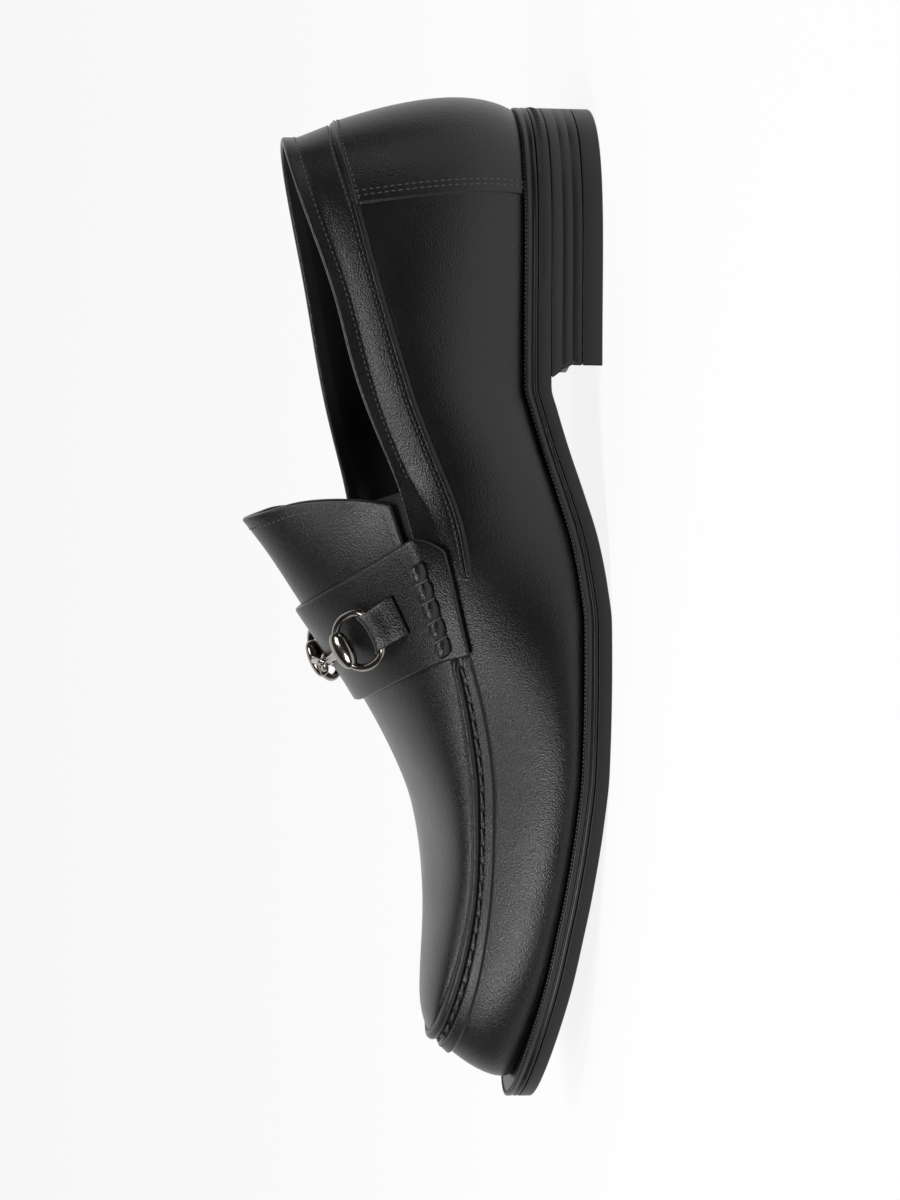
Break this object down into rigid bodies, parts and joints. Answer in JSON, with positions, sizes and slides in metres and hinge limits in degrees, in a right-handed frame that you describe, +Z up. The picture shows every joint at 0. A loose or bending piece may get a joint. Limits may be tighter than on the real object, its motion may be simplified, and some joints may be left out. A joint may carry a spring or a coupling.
{
  "type": "loafer",
  "caption": "Black leather loafer with a moccasin seam, a saddle strap, a metal horse-bit on the instep, a low stacked heel and a welted sole.",
  "frame": {"origin": "centre of the bounding box in plan, on the floor that the shoe stands on", "axes": "+X along the shoe to the toe, +Y to the wearer's left, the outer side of this left shoe, +Z up"},
  "size_m": [0.3018, 0.1068, 0.1029],
  "materials": {
    "calf": "semi-gloss, fine grain",
    "welt": "satin, stitched and wheeled edge",
    "sole": "satin",
    "heel_stack": "satin",
    "top_lift": "matte",
    "lining": "matte",
    "elastic": "woven, matte",
    "snaffle": "polished gunmetal plate"
  },
  "bodies": {
    "root": {"bit_inner": "snaffle", "bit_outer": "snaffle", "gore_inner": "elastic", "gore_outer": "elastic", "heel": "heel_stack", "heel_top_lift": "top_lift", "insole": "lining", "keeper_inner": "calf", "keeper_outer": "calf", "outsole": "sole", "ring_inner": "snaffle", "ring_outer": "snaffle", "roll_inner": "calf", "roll_outer": "calf", "strap": "calf", "tongue": "calf", "upper": "calf", "welt": "welt"}
  },
  "joints": []
}
